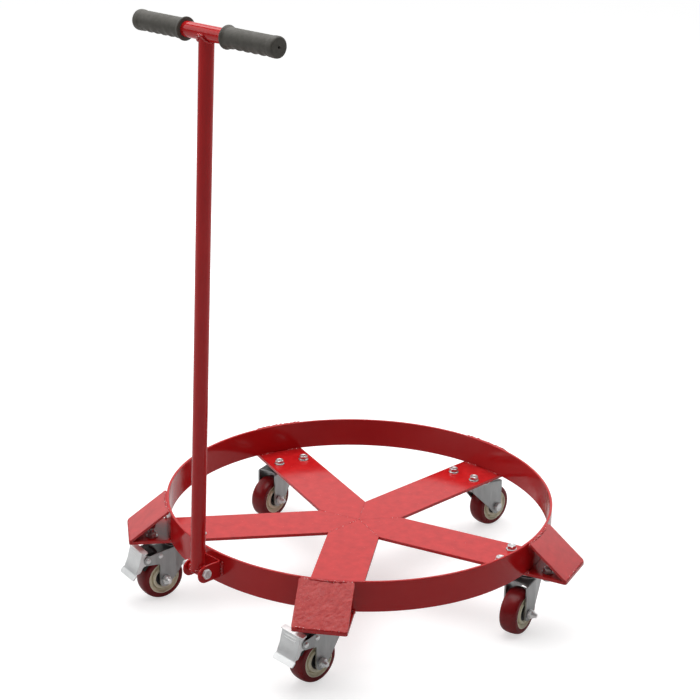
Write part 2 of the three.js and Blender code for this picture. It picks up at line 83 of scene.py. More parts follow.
level = Vector((-BACK.y, BACK.x, 0)).normalized()
upright = BACK.cross(level)
right = level * math.cos(ROLL) + upright * math.sin(ROLL)
top = upright * math.cos(ROLL) - level * math.sin(ROLL)
camera_data = bpy.data.cameras.new("camera")
camera_data.lens = 87.298
camera_data.sensor_width = 36
camera_data.clip_end = 60
camera = bpy.data.objects.new("camera", camera_data)
turned_to = Matrix((right, top, BACK)).transposed().to_4x4()
camera.matrix_world = Matrix.Translation(SPOT) @ turned_to
scene = bpy.context.scene
scene.collection.objects.link(camera)
scene.camera = camera
scene.view_settings.view_transform = "Standard"
print("camera", [round(c, 3) for c in camera.location], "lens", camera_data.lens)

# %% Softboxes
def softbox(name, spot, aim, width, height, radiance, tint=(1, 1, 1)):
    """Area light at spot that faces aim. Its power follows from the radiance of its face."""
    light = bpy.data.lights.new(name, "AREA")
    light.shape = "RECTANGLE"
    light.size, light.size_y = width, height
    light.energy = radiance * math.pi * width * height
    light.color = tint
    obj = bpy.data.objects.new(name, light)
    obj.rotation_euler = (Vector(aim) - Vector(spot)).to_track_quat("-Z", "Y").to_euler()
    obj.location = spot
    scene.collection.objects.link(obj)


def outward(distance, angle, height):
    """Point at a distance from the axis, turned by angle from the camera's side."""
    turn = math.atan2(BACK.y, BACK.x) + math.radians(angle)
    return (distance * math.cos(turn), distance * math.sin(turn), height)


softbox("overhead", outward(0.4, 180, 2.7), (0, 0, 0), 3.4, 3.4, 3.0)
softbox("pale_wall", outward(3.4, 180, 1.5), (0, 0, 0.8), 8.4, 2.6, 0.88)
softbox("right_wall", outward(3.6, 133, 2.0), (0, 0, 0.6), 3.0, 2.6, 1.1)
softbox("left_high", outward(2.8, -100, 1.9), (0, 0, 0), 3.2, 1.7, 1.75)
print("softboxes", [light.name for light in bpy.data.lights])

# %% [markdown]
# The world is a pale backdrop for the camera only. If it lit the object as brightly as it
# looks, it would wash out the reflections, so a Light Path node dims it for other rays.

# %% Backdrop
BACKDROP, ROOM_LIGHT = 0.9, 0.05
world = bpy.data.worlds.new("room")
world.use_nodes = True
nodes, links = world.node_tree.nodes, world.node_tree.links
nodes["Background"].inputs["Color"].default_value = (0.97, 0.98, 1.0, 1)
seen = nodes.new("ShaderNodeLightPath")
backdrop = nodes.new("ShaderNodeMath")
backdrop.operation = "MULTIPLY_ADD"
backdrop.inputs[1].default_value = BACKDROP
backdrop.inputs[2].default_value = ROOM_LIGHT
links.new(seen.outputs["Is Camera Ray"], backdrop.inputs[0])
links.new(backdrop.outputs["Value"], nodes["Background"].inputs["Strength"])
scene.world = world
print("backdrop", BACKDROP, "and light", ROOM_LIGHT)

# %% Floor
FLOOR, FLOOR_HALF = cad_box[0].z, 14
bm = bmesh.new()
bmesh.ops.create_grid(bm, x_segments=1, y_segments=1, size=FLOOR_HALF)
floor_mesh = bpy.data.meshes.new("floor")
bm.to_mesh(floor_mesh)
bm.free()
floor = bpy.data.objects.new("floor", floor_mesh)
floor.location.z = FLOOR
scene.collection.objects.link(floor)
floor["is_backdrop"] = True
print("floor at", round(FLOOR, 4))

# %% [markdown]
# ## Shared material groups
# Real paint, zinc and rubber have a soft grain, an uneven skin and a few specks of dust or
# wear. On the welds and on one gusset the pale specks are painted highlights instead. Image
# textures would stretch over folds, while noise in three dimensions fits any shape. So each
# effect is a node group that takes a position and gives back a number or a normal, built once
# and given its own values in each material.


# %% Group helper
def group(name, inputs, outputs):
    """Empty node group with named sockets, and its input and output nodes."""
    tree = bpy.data.node_groups.new(name, "ShaderNodeTree")
    for label, kind, value in inputs:
        socket = tree.interface.new_socket(label, in_out="INPUT", socket_type=kind)
        if value is not None:
            socket.default_value = value
    for label, kind in outputs:
        tree.interface.new_socket(label, in_out="OUTPUT", socket_type=kind)
    return tree, tree.nodes.new("NodeGroupInput"), tree.nodes.new("NodeGroupOutput")


def new_node(nodes, kind, **values):
    """Shader node with values for its inputs; an underscore stands for a space."""
    node = nodes.new("ShaderNode" + kind)
    for label, value in values.items():
        node.inputs[label.replace("_", " ")].default_value = value
    return node


def wire(links, *joins):
    """Links given as source node, its output, target node, its input."""
    for source, output, target, socket in joins:
        links.new(source.outputs[output], target.inputs[socket])


VECTOR, FLOAT = "NodeSocketVector", "NodeSocketFloat"
print("socket kinds", VECTOR, FLOAT)

# %% Grain: soft cloudy variation between two values
tree, start, end = group(
    "grain",
    [("Vector", VECTOR, None), ("Scale", FLOAT, 100), ("Low", FLOAT, 0), ("High", FLOAT, 1)],
    [("Value", FLOAT)],
)
clouds = new_node(tree.nodes, "TexNoise", Detail=6, Roughness=0.6)
spread = new_node(tree.nodes, "MapRange", From_Min=0.3, From_Max=0.7)
wire(
    tree.links,
    (start, "Vector", clouds, "Vector"),
    (start, "Scale", clouds, "Scale"),
    (clouds, "Fac", spread, "Value"),
    (start, "Low", spread, "To Min"),
    (start, "High", spread, "To Max"),
    (spread, "Result", end, "Value"),
)
grain_group = tree
print("grain is made of", len(tree.nodes), "nodes")

# %% Peel: shallow bumps, as on sprayed paint, cast zinc or moulded rubber
peel_inputs = [("Vector", VECTOR, None), ("Scale", FLOAT, 400)]
peel_inputs += [("Strength", FLOAT, 0.2), ("Depth", FLOAT, 0.0003)]
tree, start, end = group("peel", peel_inputs, [("Normal", VECTOR)])
lumps = new_node(tree.nodes, "TexNoise", Detail=3)
bump = new_node(tree.nodes, "Bump")
wire(
    tree.links,
    (start, "Vector", lumps, "Vector"),
    (start, "Scale", lumps, "Scale"),
    (lumps, "Fac", bump, "Height"),
    (start, "Strength", bump, "Strength"),
    (start, "Depth", bump, "Distance"),
    (bump, "Normal", end, "Normal"),
)
peel_group = tree
print("peel is made of", len(tree.nodes), "nodes")

# %% Specks: small scattered dots of another colour, larger in some patches than in others; dust or wear on most materials, painted highlights on the welds and the second gusset
tree, start, end = group(
    "specks",
    [("Vector", VECTOR, None), ("Scale", FLOAT, 300), ("Size", FLOAT, 0.1)],
    [("Mask", FLOAT)],
)
cells = new_node(tree.nodes, "TexVoronoi")
patches = new_node(tree.nodes, "TexNoise", Scale=30)
limit = new_node(tree.nodes, "Math")
limit.operation = "MULTIPLY"
inside = new_node(tree.nodes, "Math")
inside.operation = "LESS_THAN"
wire(
    tree.links,
    (start, "Vector", cells, "Vector"),
    (start, "Vector", patches, "Vector"),
    (start, "Scale", cells, "Scale"),
    (patches, "Fac", limit, 0),
    (start, "Size", limit, 1),
    (cells, "Distance", inside, 0),
    (limit, "Value", inside, 1),
    (inside, "Value", end, "Mask"),
)
specks_group = tree
print("groups", [g.name for g in bpy.data.node_groups])

# %% [markdown]
# ## Materials
# The dolly has sprayed red paint, dull and bright zinc, red tread, cream hubs, black plastic
# and grey rubber. They differ only in their values, so one function makes them all: two
# colours mixed by grain, a roughness that wanders, a light speckle and a bump. `stretch`
# squeezes the pattern along one axis for rolled metal.


# %% Material maker
def add_group(nodes, links, tree, vector, **values):
    """Group node in a material, fed with the position and with these values."""
    node = new_node(nodes, "Group")
    node.node_tree = tree
    links.new(vector, node.inputs["Vector"])
    for label, value in values.items():
        node.inputs[label].default_value = value
    return node


def finish_of(
    name, dark, light, grain, rough, peel,
    metallic=0.0, specks=None, stretch=(1, 1, 1), ior=1.45,
):
    """Material from dark to light at the grain's scale, with rough = (low, high),
    peel = (scale, strength, depth in metres) and specks = (scale, size, colour)."""
    made = bpy.data.materials.new(name)
    made.use_nodes = True
    nodes, links = made.node_tree.nodes, made.node_tree.links
    shader = nodes["Principled BSDF"]
    place = new_node(nodes, "TexCoord")
    squeeze = new_node(nodes, "Mapping", Scale=stretch)
    links.new(place.outputs["Object"], squeeze.inputs["Vector"])
    position = squeeze.outputs["Vector"]

    clouds = add_group(nodes, links, grain_group, position, Scale=grain)
    mix = new_node(nodes, "Mix")
    mix.data_type = "RGBA"
    mix.inputs["A"].default_value = (*dark, 1)
    mix.inputs["B"].default_value = (*light, 1)
    links.new(clouds.outputs["Value"], mix.inputs["Factor"])
    colour = mix.outputs["Result"]
    if specks:
        scale, size, tint = specks
        at = place.outputs["Object"]
        dots = add_group(nodes, links, specks_group, at, Scale=scale, Size=size)
        over = new_node(nodes, "Mix")
        over.data_type = "RGBA"
        over.inputs["B"].default_value = (*tint, 1)
        links.new(dots.outputs["Mask"], over.inputs["Factor"])
        links.new(colour, over.inputs["A"])
        colour = over.outputs["Result"]
    links.new(colour, shader.inputs["Base Color"])

    low, high = rough
    wander = add_group(nodes, links, grain_group, position, Scale=grain * 0.37, Low=low, High=high)
    links.new(wander.outputs["Value"], shader.inputs["Roughness"])
    scale, strength, depth = peel
    skin = add_group(
        nodes, links, peel_group, position, Scale=scale, Strength=strength, Depth=depth
    )
    links.new(skin.outputs["Normal"], shader.inputs["Normal"])
    shader.inputs["Metallic"].default_value = metallic
    shader.inputs["IOR"].default_value = ior
    return made


print("the material maker uses", len(bpy.data.node_groups), "groups")

# %% Red paint: smooth on ring and pole, duller on the plates, rough where it covers welds
RED = (0.50, 0.012, 0.013)
RED_DEEP = (0.44, 0.008, 0.010)
# pale speck colour: dust on the plates, painted highlights on the welds and the second gusset
DUST_AND_GLINT = (0.82, 0.60, 0.58)
red_paint = finish_of("red_paint", RED_DEEP, RED, 9, (0.10, 0.16), (350, 0.10, 0.0002), ior=1.36)
red_plate = finish_of(
    "red_plate", RED_DEEP, (0.57, 0.016, 0.017), 60, (0.12, 0.2), (420, 0.14, 0.0002),
    specks=(900, 0.05, DUST_AND_GLINT),
)
# rough paint for the second gusset: its pale grain and stretched pale specks are painted
# highlights, streaks of light on the rough skin
red_rough_painted_streaks = finish_of(
    "red_rough_painted_streaks", (0.46, 0.010, 0.012), (0.64, 0.060, 0.052), 190, (0.16, 0.44),
    (260, 0.6, 0.0008), specks=(420, 0.16, DUST_AND_GLINT), stretch=(1, 0.5, 1),
)
# weld paint: its large pale specks are painted highlights, the glints on the bead's lumps
red_weld = finish_of(
    "red_weld", (0.40, 0.007, 0.010), RED, 150, (0.08, 0.22), (260, 0.7, 0.0012),
    specks=(360, 0.42, DUST_AND_GLINT),
)
print("reds", [m.name for m in bpy.data.materials if m.name.startswith("red")])

# %% Zinc and steel: dull on the casters' sheets, bright on pedals and pins, clear on bolts
zinc = finish_of(
    "zinc", (0.31, 0.32, 0.32), (0.45, 0.46, 0.46), 70, (0.28, 0.38), (500, 0.06, 0.0002),
    metallic=0.78, specks=(1200, 0.05, (0.25, 0.26, 0.27)), stretch=(1, 1, 0.25),
)
bright_zinc = finish_of(
    "bright_zinc", (0.84, 0.86, 0.86), (0.93, 0.94, 0.94), 90, (0.32, 0.42),
    (450, 0.05, 0.0002), metallic=0.6,
)
bolt_zinc = finish_of(
    "bolt_zinc", (0.56, 0.57, 0.57), (0.70, 0.71, 0.71), 110, (0.24, 0.34),
    (450, 0.05, 0.0002), metallic=0.9,
)
bearing_steel = finish_of(
    "bearing_steel", (0.30, 0.30, 0.30), (0.5, 0.5, 0.49), 160, (0.25, 0.4),
    (700, 0.1, 0.0002), metallic=1.0,
)
print("metals", [m.name for m in (zinc, bright_zinc, bolt_zinc, bearing_steel)])

# %% Plastics and rubber
tread_red = finish_of(
    "tread_red", (0.16, 0.005, 0.007), (0.23, 0.010, 0.012), 60, (0.24, 0.38),
    (300, 0.2, 0.0003), specks=(500, 0.1, (0.28, 0.08, 0.08)), ior=1.33,
)
hub_cream = finish_of(
    "hub_cream", (0.80, 0.74, 0.55), (0.90, 0.85, 0.67), 80, (0.38, 0.55), (600, 0.15, 0.0002)
)
black_plastic = finish_of(
    "black_plastic", (0.008, 0.008, 0.008), (0.02, 0.02, 0.019), 120, (0.4, 0.6),
    (500, 0.3, 0.0003),
)
grip_rubber = finish_of(
    "grip_rubber", (0.056, 0.052, 0.043), (0.086, 0.080, 0.067), 150, (0.5, 0.68),
    (900, 0.35, 0.0003), specks=(1100, 0.06, (0.10, 0.095, 0.085)),
)
studio_floor = finish_of(
    "studio_floor", (0.50, 0.50, 0.50), (0.52, 0.52, 0.52), 3, (0.8, 0.9), (40, 0.05, 0.0005)
)
floor_mesh.materials.append(studio_floor)
print("materials", len(bpy.data.materials))

# %% [markdown]
# A curved studio wall would hide the object from behind. So the floor glows instead, more the
# further out it lies, and the camera sees more of it than the object does.

# %% Floor glow
GLOW_SEEN = 0.53
nodes, links = studio_floor.node_tree.nodes, studio_floor.node_tree.links
place = new_node(nodes, "TexCoord")
away = new_node(nodes, "VectorMath")
away.operation = "LENGTH"
glow = new_node(nodes, "MapRange", From_Min=0.2, From_Max=2.6, To_Min=0.08, To_Max=0.42)
glow.interpolation_type = "SMOOTHSTEP"
seen = new_node(nodes, "LightPath")
extra = new_node(nodes, "Math")
extra.operation = "MULTIPLY_ADD"
extra.inputs[1].default_value = GLOW_SEEN
shader = nodes["Principled BSDF"]
shader.inputs["Emission Color"].default_value = (1, 1, 1, 1)
wire(
    links,
    (place, "Object", away, 0),
    (away, "Value", glow, "Value"),
    (seen, "Is Camera Ray", extra, 0),
    (glow, "Result", extra, 2),
    (extra, "Value", shader, "Emission Strength"),
)
print("floor material has", len(nodes), "nodes")

# %% [markdown]
# ## Places
# Arms and casters repeat the same few shapes. A finished object has to lie at the origin,
# unturned, so it is modelled in a local frame and its vertices are moved. Each arm has a frame
# along its spoke, each caster one at its kingpin, with x towards the axle, and the handle's
# stands on its pivot, with z along the pole.

# %% Local frames from the joints
MM = Matrix.Diagonal((0.001, 0.001, 0.001, 1))
ARMS = range(1, 6)
BRAKED = (1, 2)


def heading(vector):
    return math.atan2(vector.y, vector.x)


arm_place, caster_place = {}, {}
for i in ARMS:
    kingpin = Vector(joints[f"caster_swivel_{i}"]["pos_m"])
    axle = Vector(joints[f"wheel_spin_{i}"]["pos_m"])
    arm_place[i] = Matrix.Rotation(heading(kingpin), 4, "Z") @ MM
    foot = Matrix.Translation((kingpin.x, kingpin.y, 0))
    caster_place[i] = foot @ Matrix.Rotation(heading(axle - kingpin), 4, "Z") @ MM
pivot = Vector(joints["handle_tilt"]["pos_m"])
bar_low, bar_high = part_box("t_bar")
reach = (bar_low + bar_high) / 2 - pivot
lean = math.atan2(reach.y, reach.z)
pivot_place = Matrix.Translation(pivot) @ MM
handle_place = Matrix.Translation(pivot) @ Matrix.Rotation(-lean, 4, "X") @ MM
HANDLE_LENGTH = reach.length * 1000
print("handle length", round(HANDLE_LENGTH, 1), "lean", round(math.degrees(lean), 2))

# %% Sizes that the cells share, in millimetres
ring_low, ring_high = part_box("drum_ring")
RING_R = ring_high.x * 1000
RING_TOP = ring_high.z * 1000
RING_BOTTOM = ring_low.z * 1000
RING_WALL = 4
SPOKE_HALF, SPOKE_THICK, SPOKE_END = 40, 5, 363  # half width, thickness, outer end
KINGPIN_R = 289  # from the ring's axis
BOLT_ALONG, BOLT_ACROSS = 38, 22.5  # mounting bolts, from the kingpin
PLATE_TOP, FORK_TOP = -5.3, -19.1
AXLE_X, AXLE_Z = 30, -70.9  # from the kingpin and from the spokes' top
LEG = 19.5  # outer face of a fork's leg, from the middle
M8_FLATS = 13
SLEEVE_R = 7.5
pole_low, pole_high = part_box("handle_pole")
TUBE_R = (pole_high.x - pole_low.x) * 500
WHEEL_R = AXLE_Z - FLOOR * 1000
print("ring radius", round(RING_R, 1), "tube", round(TUBE_R, 2), "wheel", round(WHEEL_R, 2))

# %% [markdown]
# ## Modelling helpers
# The parts are turned, cut from plate, folded from sheet or welded. Outlines are lists of a
# few corners, and `fillet` rounds them with a short curve, lighter than a bevel on each edge.

# %% Outlines
def fillet(points, radius, steps=3, closed=True):
    """The points with each corner rounded."""
    rounded = []
    for i, point in enumerate(points):
        here = Vector(point)
        before = Vector(points[i - 1]) - here
        after = Vector(points[(i + 1) % len(points)]) - here
        at_end = not closed and i in (0, len(points) - 1)
        if at_end or before.angle(after) > 3.0:
            rounded.append(tuple(here))
            continue
        shorter = min(before.length, after.length)
        cut = min(radius / math.tan(before.angle(after) / 2), 0.45 * shorter)
        first, last = here + before.normalized() * cut, here + after.normalized() * cut
        for k in range(steps + 1):
            t = k / steps
            rounded.append(tuple((1 - t) ** 2 * first + 2 * t * (1 - t) * here + t * t * last))
    return rounded


def arc(cx, cy, radius, start, end, steps):
    """Points of an arc, angles in degrees."""
    turns = [math.radians(start + (end - start) * k / steps) for k in range(steps + 1)]
    return [(cx + radius * math.cos(t), cy + radius * math.sin(t)) for t in turns]


def rectangle(a, b):
    """Corners of a rectangle with these half sides."""
    return [(-a, -b), (a, -b), (a, b), (-a, b)]


SQUARE = rectangle(5, 5)
print("a filleted square has", len(fillet(SQUARE, 2)), "points")


# %% Turned and raised solids
def turned(profile, steps=96, closed=False):
    """Profile of (radius, height) points spun about Z."""
    bm = bmesh.new()
    verts = [bm.verts.new((r, 0, h)) for r, h in profile]
    ends = verts[1:] + verts[:1] if closed else verts[1:]
    edges = [bm.edges.new(pair) for pair in zip(verts, ends)]
    bmesh.ops.spin(
        bm, geom=verts + edges, cent=(0, 0, 0), axis=(0, 0, 1), angle=math.tau, steps=steps,
        use_merge=True,
    )
    bmesh.ops.remove_doubles(bm, verts=bm.verts, dist=1e-4)
    return bm


def soften(bm, edges, offset, segments):
    """Bevels these edges, all round the piece."""
    bmesh.ops.bevel(
        bm, geom=edges, offset=offset, segments=segments, profile=0.5, affect="EDGES",
        material=-1, clamp_overlap=True,
    )


def plate(outline, low, high, edge=0.0):
    """Outline raised from low to high, with its rims bevelled by edge."""
    bm = bmesh.new()
    face = bm.faces.new([bm.verts.new((x, y, low)) for x, y in outline])
    raised = bmesh.ops.extrude_face_region(bm, geom=[face])["geom"]
    moved_verts = [g for g in raised if isinstance(g, bmesh.types.BMVert)]
    bmesh.ops.translate(bm, verts=moved_verts, vec=(0, 0, high - low))
    bmesh.ops.recalc_face_normals(bm, faces=bm.faces)
    if edge:
        rims = [e for e in bm.edges if e.calc_face_angle(0) > 0.9]
        soften(bm, rims, edge, 2)
    return bm


print("a bevelled square plate has", len(plate(SQUARE, 0, 2, edge=0.5).faces), "faces")


# %% Moving and joining
ALONG_X = Matrix.Rotation(math.pi / 2, 4, "Y")
ALONG_Y = Matrix.Rotation(-math.pi / 2, 4, "X")
OVER = Matrix.Rotation(math.pi, 4, "X")  # turns a piece upside down


def shift(x, y, z):
    return Matrix.Translation((x, y, z))


def moved(bm, matrix):
    """The same bmesh, its vertices moved by the matrix."""
    bmesh.ops.transform(bm, matrix=matrix, verts=bm.verts)
    return bm


def joined(*parts):
    """One bmesh with the geometry of all of them."""
    whole = bmesh.new()
    for part in parts:
        mesh = bpy.data.meshes.new("passing")
        part.to_mesh(mesh)
        part.free()
        whole.from_mesh(mesh)
        bpy.data.meshes.remove(mesh)
    return whole


print("z laid along x points to", [round(c) for c in ALONG_X @ Vector((0, 0, 1))])

# %% [markdown]
# A bolt head is a hexagon whose corners are turned down. Cutting a prism with a cone would
# leave poor faces, so a turned head has its rim pushed in to six flats. A thread is drawn as
# plain rings, because its slope can't be seen at this size.


# %% Hexagons and threads
def hexagon(flats, low, high):
    """Hexagonal head or nut, its corners turned down at the top."""
    apothem = flats / 2
    corner = apothem / math.cos(math.pi / 6)
    profile = [(0, low), (apothem, low), (corner, low + 0.3), (corner, high - 1)]
    profile += [(apothem * 0.95, high), (apothem * 0.72, high)]
    profile += [(apothem * 0.6, high - 0.6), (0, high - 0.7)]
    bm = turned(profile, 36)
    for v in bm.verts:
        radius = math.hypot(v.co.x, v.co.y)
        if radius > corner - 0.01:
            turn = (heading(v.co) + math.pi / 6) % (math.pi / 3) - math.pi / 6
            reach = apothem / math.cos(turn)
            v.co.x *= reach / radius
            v.co.y *= reach / radius
            if v.co.z > (low + high) / 2:
                v.co.z = high - 0.3 - (reach - apothem) * 0.8
    return bm


def thread(radius, low, high):
    """Threaded end: ridges a pitch apart, and a chamfered tip."""
    pitch = 1.25
    profile = [(0, low)]
    for k in range(int((high - low) / pitch)):
        profile += [(radius * 0.86, low + k * pitch), (radius, low + (k + 0.5) * pitch)]
    profile += [(radius * 0.75, high), (0, high)]
    return turned(profile, 32)


print("a head is", round(M8_FLATS / math.cos(math.pi / 6), 1), "mm across its corners")

# %% [markdown]
# Weld metal is a lumpy cord with a ripple from each drop. A curve with a round bevel would be
# too even, so a grid is wrapped round the path and noise makes it swell and shrink. The seed
# gives each bead its own lumps.


# %% Weld beads
def bead(path, radius, seed, rough=0.35, sides=10):
    """Weld metal along a path: a tube that swells and shrinks as it goes."""
    points = [Vector(p) for p in path]
    lengths = [0.0]
    for a, b in zip(points, points[1:]):
        lengths.append(lengths[-1] + (b - a).length)
    steps = max(6, int(lengths[-1] / 1.1))

    def at(distance):
        distance = min(max(distance, 0), lengths[-1])
        k = next(n for n in range(len(points) - 1) if distance <= lengths[n + 1] + 1e-6)
        part = (distance - lengths[k]) / (lengths[k + 1] - lengths[k])
        return points[k].lerp(points[k + 1], part)

    bm = bmesh.new()
    bmesh.ops.create_grid(bm, x_segments=steps, y_segments=sides, size=1)
    for v in bm.verts:
        distance = (v.co.x + 1) / 2 * lengths[-1]
        turn = (v.co.y + 1) * math.pi
        ahead = (at(distance + 0.6) - at(distance - 0.6)).normalized()
        side = ahead.orthogonal() if abs(ahead.z) > 0.9 else ahead.cross(Vector((0, 0, 1)))
        side.normalize()
        up = side.cross(ahead)
        ripple = 0.12 * math.sin(distance * 2.6 + seed)
        c, s = math.cos(turn), math.sin(turn)
        lump = noise.noise(Vector((distance * 0.28, c, seed * 7.3 + s)))
        fine = noise.noise(Vector((distance * 0.8, c * 2, seed * 3.1 + s * 2)))
        near_end = min(distance, lengths[-1] - distance) / radius
        taper = min(1, 0.35 + 0.65 * near_end)
        size = radius * (1 + ripple + rough * lump + 0.7 * rough * fine) * taper
        v.co = at(distance) + (side * c + up * s) * size
    bmesh.ops.remove_doubles(bm, verts=bm.verts, dist=1e-3)
    bmesh.ops.holes_fill(bm, edges=[e for e in bm.edges if e.is_boundary])
    return bm


print("a 40 mm bead has", len(bead([(0, 0, 0), (40, 0, 0)], 2, seed=1).faces), "faces")

# %% [markdown]
# Forks, pedals and the handle's bracket are folded sheet metal. Modelling both skins would
# double the work at each bend, so only the outer faces are drawn, every fold is rounded by a
# bevel, and a Solidify modifier gives the sheet its thickness inwards.


# %% Folding sheet metal
def fold(bm, angle, offset, segments):
    """Rounds every fold whose faces turn by more than angle (degrees)."""
    turn = math.radians(angle)
    folds = [e for e in bm.edges if e.is_manifold and e.calc_face_angle(0) > turn]
    soften(bm, folds, offset, segments)


def face_out(bm, direction):
    """Turns the sheet's faces so that the one furthest along direction looks that way."""
    bmesh.ops.recalc_face_normals(bm, faces=bm.faces)
    aim = Vector(direction)
    first = max(bm.faces, key=lambda f: f.calc_center_median().dot(aim) + f.calc_area() * 1e-3)
    if first.normal.dot(aim) < 0:
        bmesh.ops.reverse_faces(bm, faces=bm.faces)


sample = plate(SQUARE, 0, 2)
fold(sample, 45, 0.5, 2)
print("a block with rounded folds has", len(sample.faces), "faces")

# %% [markdown]
# Each piece becomes an object that rides on its body, so that it moves with the joints, and
# replaces plain CAD nodes. A Weighted Normal modifier keeps flat faces evenly lit beside
# their bevels, and thin sheets get a fine bevel on their cut edges.

# %% Putting a piece on its body
loose_edges = []


def piece(name, bm, body, slot, look, place, stands_for=(), sharp=35, sheet=0.0, rim=0.0):
    """Object from a bmesh in the local frame `place`, riding on a body. A sheet is thickened,
    and a rim is the width of the bevel on its edges, both in millimetres."""
    bmesh.ops.transform(bm, matrix=place, verts=bm.verts)
    if not sheet:
        bmesh.ops.recalc_face_normals(bm, faces=bm.faces)
        if any(not e.is_manifold for e in bm.edges):
            loose_edges.append(name)
    mesh = bpy.data.meshes.new(name)
    bm.to_mesh(mesh)
    bm.free()
    mesh.shade_smooth()
    if not (sheet or rim):
        mesh.set_sharp_from_angle(angle=math.radians(sharp))
    mesh.materials.append(look)
    obj = bpy.data.objects.new(name, mesh)
    scene.collection.objects.link(obj)
    if sheet:
        thick = obj.modifiers.new("sheet", "SOLIDIFY")
        thick.thickness = sheet * 0.001
        thick.offset = -1
        thick.use_even_offset = True
    if rim:
        soft = obj.modifiers.new("rim", "BEVEL")
        soft.width = rim * 0.001
        soft.segments = 2
        soft.limit_method = "ANGLE"
        soft.angle_limit = math.radians(50)
    flat = obj.modifiers.new("flat", "WEIGHTED_NORMAL")
    flat.keep_sharp = not (sheet or rim)
    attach(obj, body)
    if stands_for:
        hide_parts(*stands_for)


# slot and look of the pieces that are made most often
PAINTED, BRIGHT = ("red_paint", red_paint), ("bright_zinc", bright_zinc)
BLACK = ("black_plastic", black_plastic)


def weld(name, bm, place, body="dolly_frame"):
    """Piece of painted weld metal."""
    piece(name, bm, body, "red_paint", red_weld, place, sharp=80)


# %% [markdown]
# ## The welded frame
# A rolled band makes the ring that the drum stands in. Its section is a thin rectangle with
# soft corners, and a spin draws it with no seam. A plain cylinder would leave sharp edges
# that catch no light.

# %% Ring
ring_in = RING_R - RING_WALL
wall = [(ring_in, RING_BOTTOM), (RING_R, RING_BOTTOM), (RING_R, RING_TOP), (ring_in, RING_TOP)]
band = turned(fillet(wall, 1.1), steps=240, closed=True)
print("ring faces", len(band.faces))
piece("ring_band", band, "dolly_frame", *PAINTED, MM, ["drum_ring"], sharp=60)

# %% [markdown]
# Five flat bars are cut to a point and meet in the middle as a star. One outline serves all
# five. A thin gap is left between them, and a weld seam fills it, so the joints show.

# %% Spokes and their seams
half_turn = math.pi / 5
shoulder = SPOKE_HALF / math.tan(half_turn)
seam_end = int(math.hypot(shoulder, SPOKE_HALF)) + 1
square_end = [(shoulder + 9, -SPOKE_HALF), (SPOKE_END, -SPOKE_HALF)]
square_end += [(x, -y) for x, y in reversed(square_end)]
spoke_outline = [(0.3, 0), (shoulder + 0.3, -SPOKE_HALF)]
spoke_outline += fillet(square_end, 4, closed=False)
spoke_outline += [(shoulder + 0.3, SPOKE_HALF)]
for i in ARMS:
    bar = plate(spoke_outline, -SPOKE_THICK, 0, edge=0.5)
    piece(
        f"spoke_bar_{i}", bar, "dolly_frame", "red_paint", red_plate, arm_place[i],
        [f"spoke_{i}"], sharp=25,
    )
    seam = [
        (r * math.cos(half_turn), r * math.sin(half_turn), -1.0) for r in range(1, seam_end, 2)
    ]
    weld(f"seam_bead_{i}", bead(seam, 1.25, i, rough=0.5, sides=8), arm_place[i])
print("the star's shoulders are", round(shoulder, 1), "mm out, its seams end at", seam_end)

# %% [markdown]
# A sloping plate closes each outer end, from the ring's top edge down to the spoke. It is
# drawn flat and then tilted, which keeps its corners round. Weld metal lies along its head
# and toe. The second plate has a rougher skin, with pale streaks of painted highlight.

# %% Gussets
GUSSET_THICK = 4
slope_run = SPOKE_END - RING_R
slope_rise = RING_TOP - RING_BOTTOM
slope_angle = math.atan2(slope_rise, slope_run)
slope_length = math.hypot(slope_run, slope_rise) - 1.2
# x runs down the slope from the ring's top edge, z stands out of it
slope = shift(RING_R + 0.4, 0, RING_TOP) @ Matrix.Rotation(slope_angle, 4, "Y")
gusset_outline = fillet(
    [(0, -SPOKE_HALF), (slope_length, -SPOKE_HALF), (slope_length, SPOKE_HALF), (0, SPOKE_HALF)],
    3.5,
)


def on_ring(y, radius=RING_R):
    """Distance along an arm to the ring's face, y to the side of the arm's middle."""
    return math.sqrt(radius ** 2 - y * y)


for i in ARMS:
    # the second gusset's paint carries painted highlights: pale streaks and specks
    look = red_rough_painted_streaks if i == 2 else red_plate
    sloping = moved(plate(gusset_outline, -GUSSET_THICK, 0, edge=0.6), slope)
    piece(
        f"gusset_plate_{i}", sloping, "dolly_frame", "red_paint", look, arm_place[i],
        [f"gusset_{i}"], sharp=25,
    )
    toe = [(SPOKE_END - 2.5, y, 0.2) for y in range(-39, 40, 3)]
    head = [(on_ring(y) + 1.3, y, RING_TOP - 1.8) for y in range(-39, 40, 3)]
    lump = [(on_ring(y) + 2.2, y, RING_TOP - 3.6) for y in (-41, -38, -35)]
    beads = joined(
        bead(toe, 2.0, 10 + i, rough=0.6),
        bead(head, 1.9, 20 + i, rough=0.6),
        bead(lump, 3.2, 30 + i),
    )
    weld(f"gusset_bead_{i}", beads, arm_place[i])
print("gussets", round(slope_length, 1), "mm long at", round(math.degrees(slope_angle)), "degrees")

# %% Beads where the ring stands on the spokes
for i in ARMS:
    blobs = []
    for side in (-1, 1):
        y = side * (SPOKE_HALF - 1)
        x = on_ring(y)
        outer = [(x + 1, y - side * 3, 1.2), (x + 1.4, y, 1.0), (x + 1.2, y + side * 2, -1.5)]
        inner = [(on_ring(y, ring_in) - 0.4, side * y, 0.2) for y in range(12, 40, 4)]
        blobs.append(bead(outer, 3.1, 40 + i + side))
        blobs.append(bead(inner, 1.1, 50 + i + side, rough=0.5, sides=8))
    weld(f"ring_bead_{i}", joined(*blobs), arm_place[i])
print("beads are", round(on_ring(0, ring_in), 1), "and", round(on_ring(0), 1), "mm out")

# %% [markdown]
# ## Fasteners
# Four bolts hold each caster plate under its spoke. The two inside the ring show a flanged
# hexagon head, and the two under the gusset a toothed washer, a nut and a thread end. Each
# has its own turn, as real bolts stop at any angle.

# %% Mounting bolts
BOLT_FLATS, WASHER_R = 12.7, 8.6


